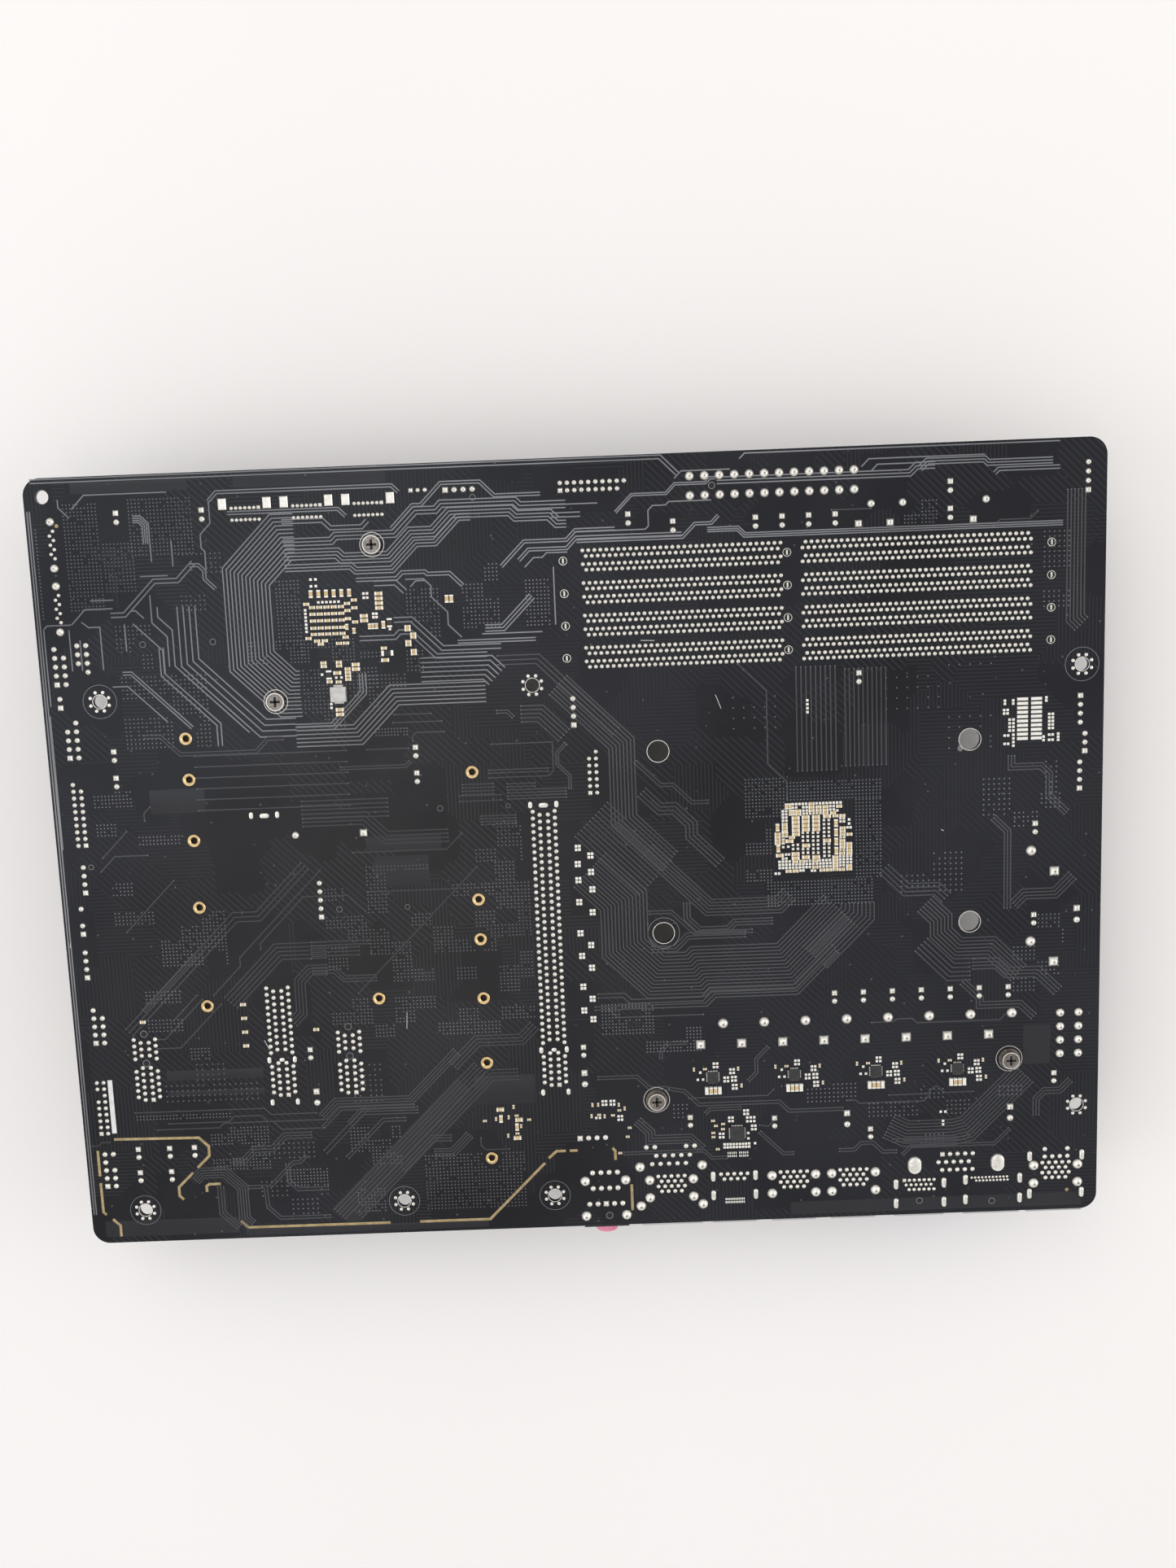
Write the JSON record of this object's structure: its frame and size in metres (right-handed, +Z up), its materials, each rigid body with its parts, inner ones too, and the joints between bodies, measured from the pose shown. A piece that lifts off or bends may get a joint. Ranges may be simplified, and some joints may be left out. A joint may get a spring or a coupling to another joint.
{
  "type": "atx motherboard",
  "caption": "Full-size computer mainboard lying solder side up, with processor socket, memory and expansion slots, regulator heatsink and rear connectors beneath.",
  "frame": {"origin": "middle of the box's base, on the surface that the board lies on", "axes": "+X along the board's long edge, +Y from the rear connectors to the front edge, +Z up, out of the solder side"},
  "size_m": [0.3048, 0.2326, 0.0353],
  "materials": {
    "solder_mask": "glossy black solder mask",
    "black_plastic": "moulded, matt",
    "latch_plastic": "moulded, matt",
    "socket_plastic": "moulded, matt",
    "steel": "tinned sheet",
    "video_blue": "moulded",
    "brass": "turned",
    "heatsink": "dark anodised",
    "chip": "moulded, matt",
    "choke_grey": "pressed powder, matt",
    "can_metal": "drawn can",
    "pad_grey": "soft pad",
    "choke_silver": "matt silver",
    "ceramic": "fired ceramic",
    "solder": "bright solder",
    "jack_pink": "moulded",
    "jack_green": "moulded",
    "jack_blue": "moulded"
  },
  "bodies": {
    "board": {"analog_video_port": "video_blue", "back_capacitors": "ceramic", "back_choke": "choke_silver", "board_power_connector": "black_plastic", "capacitor_cans": "can_metal", "card_posts": "brass", "card_sockets": "black_plastic", "chipset": "chip", "chipset_heatsink": "heatsink", "chipset_heatsink_screws": "steel", "circuit_board": "solder_mask", "coin_cell": "steel", "coin_cell_holder": "black_plastic", "control_chips": "chip", "cpu_power_connector": "black_plastic", "cpu_socket_base": "socket_plastic", "driver_chips": "chip", "fan_headers": "black_plastic", "first_digital_video_port": "steel", "front_drive_ports": "black_plastic", "line_in_jack": "jack_blue", "line_out_jack": "jack_green", "long_slot": "black_plastic", "memory_slot_1": "black_plastic", "memory_slot_2": "black_plastic", "memory_slot_3": "black_plastic", "memory_slot_4": "black_plastic", "microphone_jack": "jack_pink", "mouse_port": "steel", "network_port": "steel", "pin_header_bases": "black_plastic", "power_chokes": "choke_grey", "power_joints": "solder", "power_stages": "chip", "regulator_controller": "chip", "regulator_heatsink": "heatsink", "regulator_heatsink_screws": "steel", "regulator_thermal_pad": "pad_grey", "second_digital_video_port": "steel", "second_long_slot": "black_plastic", "shell_tab_joints": "solder", "short_slot_1": "black_plastic", "short_slot_2": "black_plastic", "shrouded_headers": "black_plastic", "side_drive_ports": "black_plastic", "slim_usb_port": "steel", "sound_jack_housing": "black_plastic", "usb_port_1": "steel", "usb_port_2": "steel"},
    "socket_cover": {"cpu_socket_cover": "socket_plastic"},
    "socket_lever": {"cpu_socket_lever": "steel"},
    "memory_latch_1": {"memory_latch_1": "latch_plastic"},
    "memory_latch_2": {"memory_latch_2": "latch_plastic"},
    "memory_latch_3": {"memory_latch_3": "latch_plastic"},
    "memory_latch_4": {"memory_latch_4": "latch_plastic"},
    "slot_clip": {"long_slot_clip": "latch_plastic"},
    "second_slot_clip": {"second_long_slot_clip": "latch_plastic"}
  },
  "joints": [
    {"name": "lever_turn", "type": "hinge", "parent": "board", "child": "socket_lever", "pos_m": [0.069, 0.0288, 0.0287], "axis": [1, 0, 0], "range_deg": [0, 95]},
    {"name": "cover_slide", "type": "slide", "parent": "board", "child": "socket_cover", "axis": [0, -1, 0], "range_m": [0, 0.0012]},
    {"name": "memory_latch_1_turn", "type": "hinge", "parent": "board", "child": "memory_latch_1", "pos_m": [0.1374, 0.0601, 0.0265], "axis": [0, -1, 0], "range_deg": [0, 25]},
    {"name": "memory_latch_2_turn", "type": "hinge", "parent": "board", "child": "memory_latch_2", "pos_m": [0.1374, 0.06927, 0.0265], "axis": [0, -1, 0], "range_deg": [0, 25]},
    {"name": "memory_latch_3_turn", "type": "hinge", "parent": "board", "child": "memory_latch_3", "pos_m": [0.1374, 0.07844, 0.0265], "axis": [0, -1, 0], "range_deg": [0, 25]},
    {"name": "memory_latch_4_turn", "type": "hinge", "parent": "board", "child": "memory_latch_4", "pos_m": [0.1374, 0.08761, 0.0265], "axis": [0, -1, 0], "range_deg": [0, 25]},
    {"name": "slot_clip_turn", "type": "hinge", "parent": "board", "child": "slot_clip", "pos_m": [-0.0098, 0.0236, 0.0275], "axis": [1, 0, 0], "range_deg": [0, 20]},
    {"name": "second_slot_clip_turn", "type": "hinge", "parent": "board", "child": "second_slot_clip", "pos_m": [-0.09108, 0.0236, 0.0275], "axis": [1, 0, 0], "range_deg": [0, 20]}
  ],
  "couplings": [
    {"joint": "cover_slide", "follows": "lever_turn", "m_per_rad": 0.00072}
  ]
}
